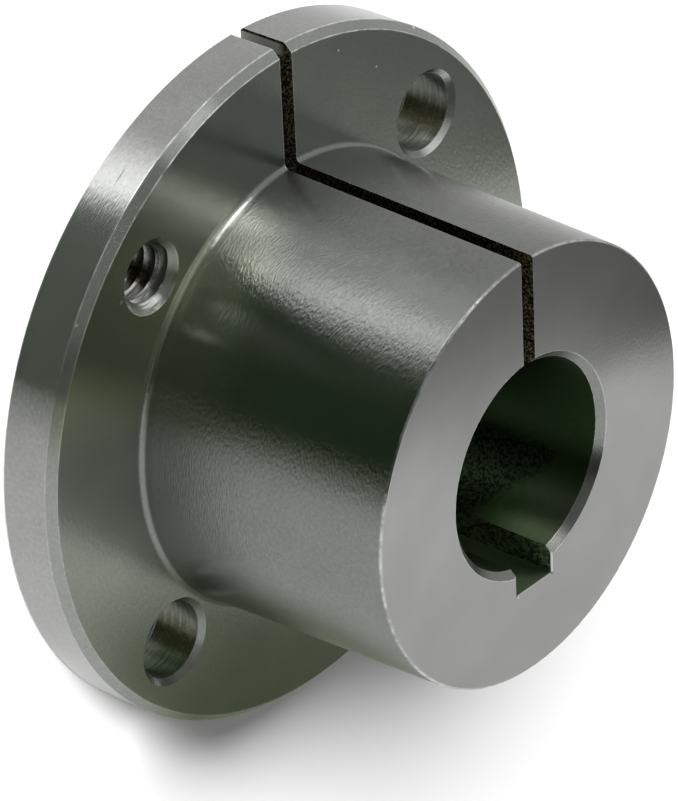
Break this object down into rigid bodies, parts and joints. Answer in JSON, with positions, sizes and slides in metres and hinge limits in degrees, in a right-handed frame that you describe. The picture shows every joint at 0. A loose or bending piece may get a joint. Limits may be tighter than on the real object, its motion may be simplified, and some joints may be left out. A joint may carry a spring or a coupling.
{
  "type": "split tapered flanged bushing",
  "caption": "Split bushing with a tapered barrel and a flange, bored and keyed for a shaft, with plain holes for clamping screws and tapped holes for release screws.",
  "frame": {"origin": "centre of the bore on the flange's back face, which the part stands on", "axes": "+Z along the bore, from the flange to the barrel's nose; +Y through the saw cut; the keyway is at -Y"},
  "size_m": [0.0635, 0.0634, 0.031],
  "materials": {
    "blackened_steel": "turned steel under a dark greenish black oxide, semi-gloss, with fine tool marks"
  },
  "bodies": {
    "root": {"bushing": "blackened_steel"}
  },
  "joints": []
}
